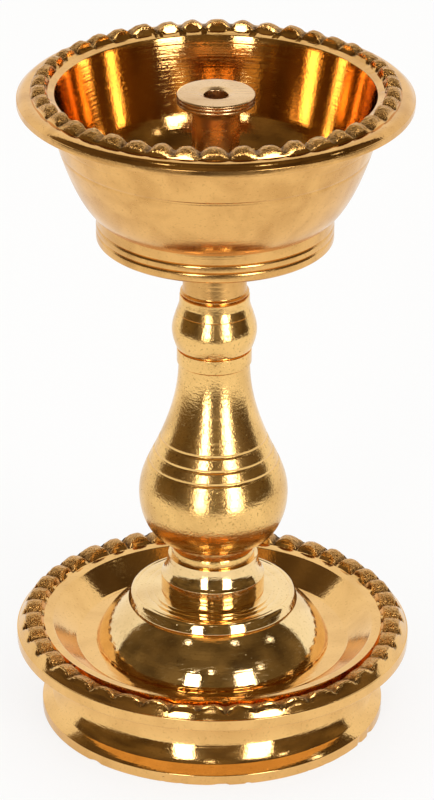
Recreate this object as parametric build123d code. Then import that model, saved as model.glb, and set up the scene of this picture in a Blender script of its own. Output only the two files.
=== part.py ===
"""A turned brass butter lamp that screws together: foot and drip tray, domed boss,
baluster stem, beaded bowl and mushroom wick pillar, on three threaded studs.
Lengths are in millimetres, +Z is up and the foot stands on z = 0."""
from build123d import *
from math import cos, radians, sin, tan
import os

# Foot and drip tray
foot_radius = 28.8
foot_edge_height = 1.85
foot_flare_handle = 2.2
foot_flare_rise = 1.25
waist_radius = 25.45
waist_height = 7.6
waist_low_handle = 3.0
waist_high_handle = 2.6
cove_top_radius = 31.0
cove_top_handle = 4.0
base_lip_radius = 33.0
base_lip_underside = 12.85
base_lip_edge = 1.9
rim_bevel_radius = 31.75
rim_bevel_height = 16.6
tray_mouth_radius = 27.0
tray_mouth_height = 15.85
tray_floor_radius = 22.8
tray_floor_height = 12.6
tray_floor_thickness = 2.2
hollow_mouth_radius = 24.0
hollow_top_radius = 21.6

# Beads along both rims
bead_count = 42
bead_notch_angle = 84.0
bead_notch_floor = 0.25
bead_draft = 0.35
bead_crown = 0.25
base_bead_inner_radius = 28.6
base_bead_outer_radius = 31.5
base_bead_seat = 16.1
base_bead_height = 1.25
bowl_bead_inner_radius = 27.2
bowl_bead_outer_radius = 29.7
bowl_bead_height = 1.55

# Domed boss in the tray
dome_foot_radius = 19.7
dome_height = 9.3
dome_wall = 2.2
dome_cap_thickness = 3.0
plate_radius = 14.2
plate_edge_height = 2.0
plate_bevel = 0.7
plate_edge_band = 0.35
dome_shoulder_radius = 13.7
dome_shoulder_fall = 28.0
dome_foot_fall = 72.0
dome_handle = 3.15

# Collar under the stem
collar_radius = 8.65
collar_height = 6.7
collar_band_height = 3.3
collar_top_radius = 7.5
collar_step = 0.15
collar_low_handle = 0.6
collar_high_handle = 1.5
collar_top_lean = 0.15

# Stem vase
vase_height = 35.3
vase_foot_radius = 6.95
vase_foot_height = 2.9
vase_foot_ring = 0.4
vase_belly_radius = 12.4
vase_belly_height = 11.6
vase_underside_handle = 2.7
vase_haunch_handle = 4.6
vase_shoulder_handle = 3.6
vase_throat_radius = 9.2
vase_throat_height = 21.1
vase_throat_slope = 0.43
vase_throat_handle = 3.2
vase_top_handle = 6.0
vase_top_radius = 5.9

# Stem knop
knop_height = 12.1
knop_ring_radius = 6.18
knop_ring_height = 2.5
knop_ring_bevel = 0.12
knop_groove_width = 0.4
knop_bulb_foot_radius = 6.3
knop_bulb_radius = 7.0
knop_bulb_height = 6.0
knop_under_handle = 1.1
knop_over_handle = 1.5
knop_band_radius = 5.8
knop_band_height = 1.4
knop_top_radius = 5.75

# Bowl
neck_radius = 5.25
neck_height = 10.0
neck_flare_height = 0.8
neck_seat_height = 0.4
bowl_foot_low_radius = 18.95
bowl_foot_radius = 19.35
bowl_foot_height = 4.9
foot_groove_heights = (1.75, 3.1)
foot_groove_width = 0.6
foot_groove_depth = 0.35
belly_top_radius = 27.3
belly_height = 18.5
belly_low_handle_radius = 22.4
belly_low_handle_height = 2.3
belly_high_handle_radius = 25.2
belly_high_handle_height = 9.55
bowl_lip_radius = 32.0
bowl_lip_edge = 1.85
bowl_lip_rise = 0.25
bowl_mouth_radius = 25.9
bowl_mouth_drop = 0.4
bowl_floor_height = 0.5
bowl_floor_radius = 13.5
bowl_floor_handle_radius = 19.5
bowl_wall_foot_radius = 22.75
bowl_wall_foot_height = 7.1
bowl_wall_handle_radius = 21.7
bowl_wall_handle_height = 4.4

# Wick pillar
pillar_radius = 3.9
pillar_height = 19.65
pillar_disc_radius = 6.34
pillar_disc_thickness = 1.7
pillar_disc_bevel = 0.15
pillar_groove_heights = (0.5, 1.15)
pillar_groove_width = 0.25
pillar_groove_depth = 0.2
pillar_cove_height = 1.9
wick_hole_radius = 2.0
wick_hole_depth = 12.0
wick_countersink_radius = 2.9
wick_countersink_depth = 0.35

# Threaded studs: major diameter, pitch and whole turns of engagement
tie_stud_diameter = 8.0
tie_stud_pitch = 1.25
tie_stud_turns = 6
bowl_stud_diameter = 6.0
bowl_stud_pitch = 1.0
bowl_stud_turns = 6
bowl_stud_seat_depth = 8.0
pillar_stud_diameter = 5.0
pillar_stud_pitch = 0.8
pillar_stud_turns = 5
pillar_stud_seat_depth = 4.8
thread_depth_factor = 0.6134
thread_end_bevel = 0.5

# Clamp under the tray
washer_radius = 8.5
washer_thickness = 1.6
nut_across_flats = 13.0
nut_height = 5.0
nut_bevel = 0.8
stud_tail = 1.2

# Clearances
thread_clearance = 0.06
bore_clearance = 0.2
hole_end_gap = 1.0

# Heights of the stacked pieces above the table
base_lip_top = base_lip_underside + base_lip_edge
plate_top = tray_floor_height + dome_height
collar_top = plate_top + collar_height
vase_top = collar_top + vase_height
knop_top = vase_top + knop_height
bowl_foot_low = knop_top + neck_height
bowl_foot_top = bowl_foot_low + bowl_foot_height
bowl_lip_low = bowl_foot_top + belly_height
bowl_lip_top = bowl_lip_low + bowl_lip_edge
bowl_rim_top = bowl_lip_top + bowl_lip_rise
bowl_floor = bowl_foot_top + bowl_floor_height
pillar_top = bowl_floor + pillar_height
tray_underside = tray_floor_height - tray_floor_thickness
washer_low = tray_underside - washer_thickness
nut_low = washer_low - nut_height

# Thread engagement, which is also how far each piece rises as it unscrews
tie_stud_engagement = tie_stud_turns * tie_stud_pitch
bowl_stud_engagement = bowl_stud_turns * bowl_stud_pitch
pillar_stud_engagement = pillar_stud_turns * pillar_stud_pitch

# Radii of the tapped holes and of the plain holes that the studs pass through
tie_tap_radius = tie_stud_diameter / 2 + thread_clearance
bowl_tap_radius = bowl_stud_diameter / 2 + thread_clearance
pillar_tap_radius = pillar_stud_diameter / 2 + thread_clearance
tie_bore_radius = tie_stud_diameter / 2 + bore_clearance
bowl_bore_radius = bowl_stud_diameter / 2 + bore_clearance


def at(radius, height):
    """Point of a turned outline, in the XZ plane."""
    return Vector(radius, 0, height)


def straight(*corners):
    """Straight run of a turned outline through (radius, height) corners."""
    return Polyline(*[at(*corner) for corner in corners]).edges()


def curve(first, first_handle, last_handle, last):
    """Smooth run of a turned outline, which leaves and arrives along its two handles."""
    return [Bezier(at(*first), at(*first_handle), at(*last_handle), at(*last))]


def arc(first, middle, last):
    """Circular run of a turned outline."""
    return [ThreePointArc(at(*first), at(*middle), at(*last))]


def turned(*runs):
    """Solid turned about the lamp's axis from the runs of one closed outline."""
    edges = [edge for run in runs for edge in run]
    return revolve(make_face(edges), Axis.Z)


def grooved(radius, low, heights, width, depth):
    """Corners of square grooves cut into a turned face, from the lowest up."""
    corners = []
    for height in heights:
        bottom = low + height - width / 2
        top = bottom + width
        corners += [(radius, bottom), (radius - depth, bottom), (radius - depth, top), (radius, top)]
    return corners


def beaded_ring(inner, outer, root, seat, height):
    """Ring of beads: a crowned rib from root up, cut into lobes by V notches above its seat."""
    top = seat + height
    middle = (inner + outer) / 2
    rib = turned(
        straight((inner + bead_draft, top - bead_crown), (inner, seat), (inner, root), (outer, root),
                 (outer, seat), (outer - bead_draft, top - bead_crown)),
        arc((outer - bead_draft, top - bead_crown), (middle, top), (inner + bead_draft, top - bead_crown)),
    )
    notch_low = seat + bead_notch_floor
    notch_height = top - notch_low + bead_crown
    half_width = notch_height * tan(radians(bead_notch_angle / 2))
    start = inner - bead_crown
    notch_face = make_face(Polyline((start, 0, notch_low), (start, half_width, notch_low + notch_height),
                                    (start, -half_width, notch_low + notch_height), close=True))
    notch = extrude(notch_face, amount=outer + bead_crown - start, dir=(1, 0, 0))
    return rib - [place * notch for place in PolarLocations(0, bead_count)]


def threaded_stud(diameter, pitch, low, high):
    """Stud between two heights, its thread drawn as one ring per pitch, with bevelled ends."""
    crest = diameter / 2
    root = crest - thread_depth_factor * pitch
    thread_low = low + thread_end_bevel
    ring_count = int((high - low - 2 * thread_end_bevel) / pitch)
    flank = []
    for ring in range(ring_count):
        ring_low = thread_low + ring * pitch
        flank += [(root, ring_low), (crest, ring_low + pitch / 2)]
    thread_high = thread_low + ring_count * pitch
    return turned(straight((0, low), (root - thread_end_bevel / 2, low), *flank, (root, thread_high),
                           (root - thread_end_bevel / 2, high), (0, high), (0, low)))


def base_dish():
    """Foot, waist and beaded drip tray in one casting, hollow underneath."""
    body = turned(
        straight((hollow_mouth_radius, 0), (foot_radius, 0), (foot_radius, foot_edge_height)),
        curve((foot_radius, foot_edge_height),
              (foot_radius - foot_flare_handle, foot_edge_height + foot_flare_rise),
              (waist_radius, waist_height - waist_low_handle), (waist_radius, waist_height)),
        curve((waist_radius, waist_height), (waist_radius, waist_height + waist_high_handle),
              (cove_top_radius - cove_top_handle, base_lip_underside), (cove_top_radius, base_lip_underside)),
        straight((cove_top_radius, base_lip_underside), (base_lip_radius, base_lip_underside),
                 (base_lip_radius, base_lip_top), (rim_bevel_radius, rim_bevel_height),
                 (tray_mouth_radius, tray_mouth_height),
                 (tray_floor_radius, tray_floor_height), (tie_bore_radius, tray_floor_height),
                 (tie_bore_radius, tray_underside), (hollow_top_radius, tray_underside),
                 (hollow_mouth_radius, 0)),
    )
    beads = beaded_ring(base_bead_inner_radius, base_bead_outer_radius, base_lip_top,
                        base_bead_seat, base_bead_height)
    return body + beads


def base_dome():
    """Hollow dome that stands on the tray floor, with a flat plate on top for the collar."""
    plate_low = plate_top - plate_edge_height
    cap_low = plate_top - dome_cap_thickness
    inner_foot = dome_foot_radius - dome_wall
    inner_shoulder = dome_shoulder_radius - dome_wall
    shoulder_out = dome_handle * cos(radians(dome_shoulder_fall))
    shoulder_down = dome_handle * sin(radians(dome_shoulder_fall))
    foot_in = dome_handle * cos(radians(dome_foot_fall))
    foot_up = dome_handle * sin(radians(dome_foot_fall))
    return turned(
        straight((tie_bore_radius, plate_top), (plate_radius - plate_bevel, plate_top),
                 (plate_radius, plate_low + plate_edge_band), (plate_radius, plate_low),
                 (dome_shoulder_radius, plate_low)),
        curve((dome_shoulder_radius, plate_low),
              (dome_shoulder_radius + shoulder_out, plate_low - shoulder_down),
              (dome_foot_radius - foot_in, tray_floor_height + foot_up),
              (dome_foot_radius, tray_floor_height)),
        straight((dome_foot_radius, tray_floor_height), (inner_foot, tray_floor_height)),
        curve((inner_foot, tray_floor_height), (inner_foot - foot_in, tray_floor_height + foot_up),
              (inner_shoulder + shoulder_out, cap_low - shoulder_down), (inner_shoulder, cap_low)),
        straight((inner_shoulder, cap_low), (tie_bore_radius, cap_low), (tie_bore_radius, plate_top)),
    )


def stem_collar():
    """Turned collar between the plate and the vase: a straight band under a hollow shoulder."""
    band_top = plate_top + collar_band_height
    shoulder = collar_radius - collar_step
    return turned(
        straight((tie_bore_radius, plate_top), (collar_radius, plate_top), (collar_radius, band_top),
                 (shoulder, band_top)),
        curve((shoulder, band_top), (shoulder - collar_low_handle, band_top + collar_low_handle),
              (collar_top_radius + collar_top_lean, collar_top - collar_high_handle),
              (collar_top_radius, collar_top)),
        straight((collar_top_radius, collar_top), (tie_bore_radius, collar_top),
                 (tie_bore_radius, plate_top)),
    )


def stem_vase():
    """Vase of the stem, tapped from below for the tie stud and from above for the bowl stud."""
    foot_top = collar_top + vase_foot_height
    ring_radius = vase_foot_radius + vase_foot_ring
    ring_top = foot_top + vase_foot_ring
    belly = collar_top + vase_belly_height
    throat = collar_top + vase_throat_height
    tie_hole_top = collar_top + tie_stud_engagement + hole_end_gap
    bowl_hole_low = vase_top - bowl_stud_seat_depth - hole_end_gap
    return turned(
        straight((tie_tap_radius, collar_top), (vase_foot_radius, collar_top), (vase_foot_radius, foot_top),
                 (ring_radius, foot_top), (ring_radius, ring_top)),
        curve((ring_radius, ring_top), (ring_radius + vase_underside_handle, ring_top),
              (vase_belly_radius, belly - vase_haunch_handle), (vase_belly_radius, belly)),
        curve((vase_belly_radius, belly), (vase_belly_radius, belly + vase_shoulder_handle),
              (vase_throat_radius + vase_throat_slope * vase_throat_handle, throat - vase_throat_handle),
              (vase_throat_radius, throat)),
        curve((vase_throat_radius, throat),
              (vase_throat_radius - vase_throat_slope * vase_throat_handle, throat + vase_throat_handle),
              (vase_top_radius, vase_top - vase_top_handle), (vase_top_radius, vase_top)),
        straight((vase_top_radius, vase_top), (bowl_tap_radius, vase_top), (bowl_tap_radius, bowl_hole_low),
                 (0, bowl_hole_low), (0, tie_hole_top), (tie_tap_radius, tie_hole_top),
                 (tie_tap_radius, collar_top)),
    )


def stem_knop():
    """Rounded knop over a plain ring, held on the stem by the bowl stud that passes through it."""
    ring_top = vase_top + knop_ring_height
    inner_ring = knop_ring_radius - knop_ring_bevel
    bulb_foot = ring_top + knop_groove_width
    bulb_widest = vase_top + knop_bulb_height
    band_low = knop_top - knop_band_height
    return turned(
        straight((bowl_bore_radius, vase_top), (inner_ring, vase_top),
                 (knop_ring_radius, vase_top + knop_ring_bevel), (knop_ring_radius, ring_top),
                 (inner_ring, ring_top), (inner_ring, bulb_foot), (knop_bulb_foot_radius, bulb_foot)),
        curve((knop_bulb_foot_radius, bulb_foot),
              (knop_bulb_foot_radius + knop_groove_width, bulb_foot + knop_under_handle),
              (knop_bulb_radius, bulb_widest - knop_under_handle), (knop_bulb_radius, bulb_widest)),
        curve((knop_bulb_radius, bulb_widest), (knop_bulb_radius, bulb_widest + knop_over_handle),
              (knop_band_radius, band_low - knop_over_handle / 2), (knop_band_radius, band_low)),
        straight((knop_band_radius, band_low), (knop_top_radius, knop_top), (bowl_bore_radius, knop_top),
                 (bowl_bore_radius, vase_top)),
    )


def bowl():
    """Butter bowl with its neck, grooved foot ring and beaded lip, tapped blind from both sides."""
    neck_seat = knop_top + neck_seat_height
    neck_low = knop_top + neck_flare_height
    bowl_hole_top = knop_top + bowl_stud_engagement + hole_end_gap
    pillar_hole_low = bowl_floor - pillar_stud_seat_depth - hole_end_gap / 2
    flare_middle = (neck_radius + (knop_top_radius - neck_radius) * 0.3, (neck_seat + neck_low) / 2)
    grooves = grooved(bowl_foot_radius, bowl_foot_low, foot_groove_heights, foot_groove_width,
                      foot_groove_depth)
    body = turned(
        straight((bowl_tap_radius, knop_top), (knop_top_radius, knop_top), (knop_top_radius, neck_seat)),
        arc((knop_top_radius, neck_seat), flare_middle, (neck_radius, neck_low)),
        straight((neck_radius, neck_low), (neck_radius, bowl_foot_low), (bowl_foot_low_radius, bowl_foot_low),
                 *grooves, (bowl_foot_radius, bowl_foot_top)),
        curve((bowl_foot_radius, bowl_foot_top),
              (belly_low_handle_radius, bowl_foot_top + belly_low_handle_height),
              (belly_high_handle_radius, bowl_foot_top + belly_high_handle_height),
              (belly_top_radius, bowl_lip_low)),
        straight((belly_top_radius, bowl_lip_low), (bowl_lip_radius, bowl_lip_low),
                 (bowl_lip_radius, bowl_lip_top), (bowl_bead_outer_radius, bowl_rim_top),
                 (bowl_bead_inner_radius, bowl_rim_top),
                 (bowl_mouth_radius, bowl_rim_top - bowl_mouth_drop),
                 (bowl_wall_foot_radius, bowl_floor + bowl_wall_foot_height)),
        curve((bowl_wall_foot_radius, bowl_floor + bowl_wall_foot_height),
              (bowl_wall_handle_radius, bowl_floor + bowl_wall_handle_height),
              (bowl_floor_handle_radius, bowl_floor), (bowl_floor_radius, bowl_floor)),
        straight((bowl_floor_radius, bowl_floor), (pillar_tap_radius, bowl_floor),
                 (pillar_tap_radius, pillar_hole_low), (0, pillar_hole_low), (0, bowl_hole_top),
                 (bowl_tap_radius, bowl_hole_top), (bowl_tap_radius, knop_top)),
    )
    beads = beaded_ring(bowl_bead_inner_radius, bowl_bead_outer_radius, bowl_rim_top - bowl_lip_edge / 2,
                        bowl_rim_top, bowl_bead_height)
    return body + beads


def wick_pillar():
    """Mushroom pillar in the bowl: a shaft, a grooved disc and a countersunk hole for the wick."""
    disc_low = pillar_top - pillar_disc_thickness
    stud_hole_top = bowl_floor + pillar_stud_engagement + hole_end_gap / 2
    bevelled = pillar_disc_radius - pillar_disc_bevel
    cove_middle = (pillar_radius + (bevelled - pillar_radius) * 0.3, disc_low - pillar_cove_height * 0.3)
    grooves = grooved(pillar_disc_radius, disc_low, pillar_groove_heights, pillar_groove_width,
                      pillar_groove_depth)
    return turned(
        straight((pillar_tap_radius, bowl_floor), (pillar_radius, bowl_floor),
                 (pillar_radius, disc_low - pillar_cove_height)),
        arc((pillar_radius, disc_low - pillar_cove_height), cove_middle, (bevelled, disc_low)),
        straight((bevelled, disc_low), (pillar_disc_radius, disc_low + pillar_disc_bevel), *grooves,
                 (pillar_disc_radius, pillar_top - pillar_disc_bevel), (bevelled, pillar_top),
                 (wick_countersink_radius, pillar_top),
                 (wick_hole_radius, pillar_top - wick_countersink_depth),
                 (wick_hole_radius, pillar_top - wick_hole_depth), (0, pillar_top - wick_hole_depth),
                 (0, stud_hole_top), (pillar_tap_radius, stud_hole_top), (pillar_tap_radius, bowl_floor)),
    )


def base_washer():
    """Plain washer between the tray and the nut."""
    return turned(straight((tie_bore_radius, washer_low), (washer_radius, washer_low),
                           (washer_radius, tray_underside), (tie_bore_radius, tray_underside),
                           (tie_bore_radius, washer_low)))


def base_nut():
    """Hexagon nut that clamps the foot, dome and collar to the stem."""
    corner_radius = nut_across_flats / 3 ** 0.5
    hexagon = extrude(Pos(0, 0, nut_low) * RegularPolygon(corner_radius, 6), amount=nut_height)
    envelope = turned(straight((tie_tap_radius, nut_low), (corner_radius - nut_bevel, nut_low),
                               (corner_radius, nut_low + nut_bevel / 2), (corner_radius, washer_low),
                               (tie_tap_radius, washer_low), (tie_tap_radius, nut_low)))
    return hexagon & envelope


pieces = {
    "base_dish": base_dish(),
    "base_dome": base_dome(),
    "base_washer": base_washer(),
    "base_nut": base_nut(),
    "stem_collar": stem_collar(),
    "tie_stud": threaded_stud(tie_stud_diameter, tie_stud_pitch, nut_low - stud_tail,
                              collar_top + tie_stud_engagement),
    "stem_vase": stem_vase(),
    "stem_knop": stem_knop(),
    "bowl_stud": threaded_stud(bowl_stud_diameter, bowl_stud_pitch, vase_top - bowl_stud_seat_depth,
                               knop_top + bowl_stud_engagement),
    "bowl": bowl(),
    "pillar_stud": threaded_stud(pillar_stud_diameter, pillar_stud_pitch, bowl_floor - pillar_stud_seat_depth,
                                 bowl_floor + pillar_stud_engagement),
    "wick_pillar": wick_pillar(),
}

os.makedirs("parts", exist_ok=True)
for name, piece in pieces.items():
    export_step(piece, f"parts/{name}.step")
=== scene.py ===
"""Looks of a turned brass butter lamp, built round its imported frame.

Fields of the classes are millimetres and degrees, meshes are metres. +Z runs up the lamp's axis, the foot
stands on z = 0, and the photograph's camera is on the -Y side.
"""

import logging
import math
import random
from bisect import bisect_right
from dataclasses import dataclass, field
from enum import Enum

import bpy
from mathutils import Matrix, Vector, noise


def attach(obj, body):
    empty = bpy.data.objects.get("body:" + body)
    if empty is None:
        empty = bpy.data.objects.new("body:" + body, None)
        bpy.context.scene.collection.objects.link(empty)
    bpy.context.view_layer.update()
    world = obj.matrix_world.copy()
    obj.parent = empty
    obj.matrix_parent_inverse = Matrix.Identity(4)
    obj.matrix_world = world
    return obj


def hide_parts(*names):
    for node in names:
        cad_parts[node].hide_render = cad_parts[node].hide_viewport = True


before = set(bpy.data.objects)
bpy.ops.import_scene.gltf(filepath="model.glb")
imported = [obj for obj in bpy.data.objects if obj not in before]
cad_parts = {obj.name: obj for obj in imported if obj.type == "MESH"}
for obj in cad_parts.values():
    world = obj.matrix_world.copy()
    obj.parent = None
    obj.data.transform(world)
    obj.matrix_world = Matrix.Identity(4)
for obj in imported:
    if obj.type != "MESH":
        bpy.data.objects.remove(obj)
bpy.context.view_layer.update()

LOG = logging.getLogger("butter_lamp")
MM = 0.001
MERGE_DISTANCE = 0.002 * MM
SHARP_ANGLE = math.radians(32)
Point = tuple[float, float]


class Slot(Enum):
    """Material slots of the record."""

    CAST = "cast_brass"
    TURNED = "turned_brass"
    THREAD = "thread_brass"
    STEEL = "plated_steel"


class Body(Enum):
    """Bodies of the frame that pieces ride on."""

    BASE = "base"
    STEM_SCREW = "stem_screw"
    STEM = "stem"
    BOWL_SCREW = "bowl_screw"
    BOWL = "bowl"
    PILLAR_SCREW = "pillar_screw"
    PILLAR = "pillar"


def linear(colour: str) -> tuple[float, float, float, float]:
    """Turns an sRGB hex colour into linear RGBA.

    Args:
        colour: Six hex digits after a hash sign.

    Returns:
        Linear red, green, blue and an alpha of 1.
    """
    parts = [int(colour[i:i + 2], 16) / 255 for i in (1, 3, 5)]
    red, green, blue = [c / 12.92 if c <= 0.04045 else ((c + 0.055) / 1.055) ** 2.4 for c in parts]
    return red, green, blue, 1.0


def smooth_step(low: float, high: float, value: float) -> float:
    """Rises smoothly from 0 at low to 1 at high.

    Args:
        low: Value where the rise starts.
        high: Value where it ends.
        value: Value to place between them.

    Returns:
        A number from 0 to 1.
    """
    t = min(1.0, max(0.0, (value - low) / (high - low)))
    return t * t * (3 - 2 * t)


def add_node(tree: bpy.types.NodeTree, kind: str, inputs: dict | None = None, **settings) -> bpy.types.Node:
    """Adds a node with its settings and its input values or links.

    Args:
        tree: Node tree that gets the node.
        kind: Blender's name of the node type, without its ShaderNode prefix.
        inputs: Socket name or index to a value, or to an output socket that is linked to it.
        **settings: Attributes of the node.

    Returns:
        The new node.
    """
    node = tree.nodes.new("ShaderNode" + kind)
    for name, value in settings.items():
        setattr(node, name, value)
    for socket, value in (inputs or {}).items():
        if isinstance(value, bpy.types.NodeSocket):
            tree.links.new(value, node.inputs[socket])
        else:
            node.inputs[socket].default_value = value
    return node


@dataclass
class Outline:
    """Half outline of a turned piece, walked up its outside, inwards and down its inside.

    The metal is on the left of the walk. Points are (radius, height) in millimetres.
    """

    corners: list[tuple[float, float, float]] = field(default_factory=list)
    scribes: list[tuple[float, float, float, float]] = field(default_factory=list)

    def to(self, radius: float, height: float, rounding: float = 0.0) -> "Outline":
        """Goes straight to a corner.

        Args:
            radius: Distance of the corner from the axis.
            height: Height of the corner.
            rounding: How far along each side the corner is rounded off.

        Returns:
            The outline itself.
        """
        self.corners.append((radius, height, rounding))
        return self

    def curve(self, first: Point, second: Point, end: Point, steps: int = 24) -> "Outline":
        """Goes along a curve with two handles.

        Args:
            first: Handle that the curve leaves towards.
            second: Handle that it arrives from.
            end: Last point of the curve.
            steps: Number of runs that the curve is drawn with.

        Returns:
            The outline itself.
        """
        start = self.corners[-1][:2]
        for i in range(1, steps + 1):
            t = i / steps
            a, b, c, d = (1 - t) ** 3, 3 * t * (1 - t) ** 2, 3 * t * t * (1 - t), t ** 3
            sides = zip(start, first, second, end)
            radius, height = (a * p + b * q + c * r + d * s for p, q, r, s in sides)
            self.corners.append((radius, height, 0.0))
        return self

    def scribe(self, radius: float, height: float, width: float, depth: float) -> "Outline":
        """Cuts a fine line into the outline where it passes nearest to a point.

        Args:
            radius: Radius of the point.
            height: Height of the point.
            width: Width of the line.
            depth: Depth of the line.

        Returns:
            The outline itself.
        """
        self.scribes.append((radius, height, width, depth))
        return self

    def points(self) -> list[Point]:
        """Works out the outline with its corners rounded and its lines cut.

        Returns:
            The outline's points.
        """
        path = self._rounded()
        for scribe in self.scribes:
            path = self._cut(path, *scribe)
        return path

    def _rounded(self) -> list[Point]:
        """Replaces each marked corner by a small curve.

        Returns:
            The outline's points.
        """
        path: list[Point] = []
        for i, (radius, height, rounding) in enumerate(self.corners):
            corner = Vector((radius, height))
            if not rounding:
                path.append(tuple(corner))
                continue
            before = Vector(self.corners[i - 1][:2])
            after = Vector(self.corners[(i + 1) % len(self.corners)][:2])
            start = corner + (before - corner).normalized() * min(rounding, (before - corner).length * 0.45)
            end = corner + (after - corner).normalized() * min(rounding, (after - corner).length * 0.45)
            for t in (0.0, 0.25, 0.5, 0.75, 1.0):
                path.append(tuple(start * (1 - t) ** 2 + corner * (2 * t * (1 - t)) + end * t * t))
        return path

    @staticmethod
    def _cut(path: list[Point], radius: float, height: float, width: float, depth: float) -> list[Point]:
        """Cuts one fine line into a path.

        Args:
            path: Points of the outline.
            radius: Radius of the point that the line is nearest to.
            height: Height of that point.
            width: Width of the line.
            depth: Depth of the line.

        Returns:
            The path with the line in it.
        """
        target = Vector((radius, height))
        best = None
        travelled = [0.0]
        for a, b in zip(path, path[1:]):
            start, run = Vector(a), Vector(b) - Vector(a)
            t = min(1.0, max(0.0, (target - start).dot(run) / max(run.length_squared, 1e-12)))
            gap = (start + run * t - target).length
            if best is None or gap < best[0]:
                best = gap, travelled[-1] + run.length * t, start + run * t, run.normalized()
            travelled.append(travelled[-1] + run.length)
        _, middle, centre, along = best
        inward = Vector((-along.y, along.x))
        half = ((0.5, 0.0), (0.42, 0.12), (0.08, 0.92))
        shape = [(-x, y) for x, y in half] + [(0.0, 1.0)] + list(reversed(half))
        line = [tuple(centre + along * (width * x) + inward * (depth * y)) for x, y in shape]
        kept_before = [p for p, s in zip(path, travelled) if s < middle - width / 2]
        kept_after = [p for p, s in zip(path, travelled) if s > middle + width / 2]
        return kept_before + line + kept_after


def lathe(name: str, outline: Outline, steps: int) -> bpy.types.Object:
    """Turns a closed outline about the lamp's axis into a mesh.

    Args:
        name: Name of the new object and of its mesh.
        outline: Half outline of the piece.
        steps: Number of flats round the axis.

    Returns:
        The new object, at the origin.
    """
    points = outline.points()
    bpy.ops.object.select_all(action="DESELECT")
    bpy.ops.mesh.primitive_circle_add(vertices=len(points), radius=MM, fill_type="NOTHING")
    piece = bpy.context.active_object
    piece.name = piece.data.name = name
    for vertex, (radius, height) in zip(piece.data.vertices, points):
        vertex.co = Vector((radius, 0.0, height)) * MM
    bpy.ops.object.mode_set(mode="EDIT")
    bpy.ops.mesh.select_mode(type="VERT")
    bpy.ops.mesh.select_all(action="SELECT")
    bpy.ops.mesh.spin(steps=steps, angle=math.tau, center=(0, 0, 0), axis=(0, 0, 1))
    bpy.ops.mesh.select_all(action="SELECT")
    bpy.ops.mesh.remove_doubles(threshold=MERGE_DISTANCE)
    bpy.ops.mesh.select_all(action="SELECT")
    bpy.ops.mesh.delete_loose(use_verts=True, use_edges=True, use_faces=False)
    bpy.ops.mesh.select_all(action="SELECT")
    bpy.ops.mesh.normals_make_consistent(inside=False)
    bpy.ops.object.mode_set(mode="OBJECT")
    return piece


def smooth(piece: bpy.types.Object) -> None:
    """Shades a piece smooth, apart from its sharp edges.

    Args:
        piece: Mesh object to shade.
    """
    bpy.ops.object.select_all(action="DESELECT")
    piece.select_set(True)
    bpy.context.view_layer.objects.active = piece
    bpy.ops.object.shade_smooth_by_angle(angle=SHARP_ANGLE)


def place(piece: bpy.types.Object, body: Body, slot: Slot, material: bpy.types.Material,
          *nodes: str) -> None:
    """Dresses a piece and hands it to the frame.

    Args:
        piece: Finished mesh object.
        body: Body that it rides on.
        slot: Record slot that its finish comes from; not used.
        material: Material of the whole piece.
        *nodes: CAD nodes that it stands for.
    """
    piece.data.materials.clear()
    piece.data.materials.append(material)
    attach(piece, body.value)
    if nodes:
        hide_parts(*nodes)
    LOG.info("%s rides on %s with %d faces", piece.name, body.value, len(piece.data.polygons))


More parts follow.
